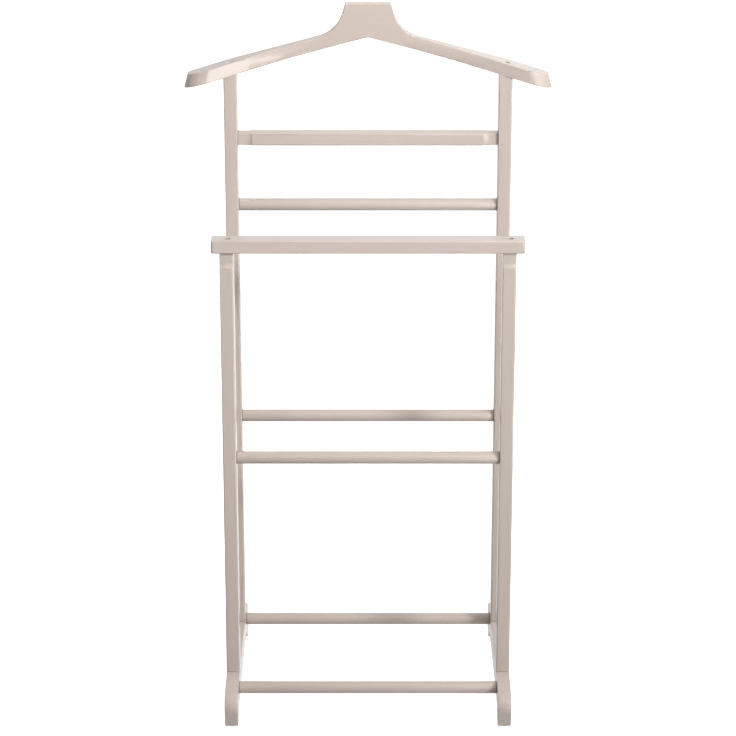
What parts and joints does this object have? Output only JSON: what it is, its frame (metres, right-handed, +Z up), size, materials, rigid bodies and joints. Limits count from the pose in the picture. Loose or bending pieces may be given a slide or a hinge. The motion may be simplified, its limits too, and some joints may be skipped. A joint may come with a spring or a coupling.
{
  "type": "clothes valet stand",
  "caption": "Wooden clothes valet stand: a coat hanger on tall rear posts, a shelf bar on shorter front legs, round rails for trousers and low rails for shoes.",
  "frame": {"origin": "on the floor, at the middle of the stand's footprint", "axes": "+Z up; the shelf bar faces -Y, which is the front; +X is to the right as seen from the front"},
  "size_m": [0.523, 0.354, 0.9967],
  "materials": {
    "lacquered_wood": "taupe lacquer, satin to gloss",
    "dark_steel": "dark zinc",
    "bare_beech": "bare beech",
    "glide_plastic": "dark nylon"
  },
  "bodies": {
    "root": {"left_foot": "lacquered_wood", "right_foot": "lacquered_wood", "left_front_leg": "lacquered_wood", "right_front_leg": "lacquered_wood", "left_rear_post": "lacquered_wood", "right_rear_post": "lacquered_wood", "shelf_bar": "lacquered_wood", "hanger_yoke": "lacquered_wood", "cross_bar": "lacquered_wood", "upper_rail": "lacquered_wood", "rear_middle_rail": "lacquered_wood", "front_middle_rail": "lacquered_wood", "rear_bottom_rail": "lacquered_wood", "front_bottom_rail": "lacquered_wood", "shelf_screws": "dark_steel", "hanger_screws": "dark_steel", "foot_screws": "dark_steel", "rail_screws": "dark_steel", "cross_bar_screws": "dark_steel", "foot_dowels": "bare_beech", "cross_bar_dowels": "bare_beech", "glides": "glide_plastic"}
  },
  "joints": []
}
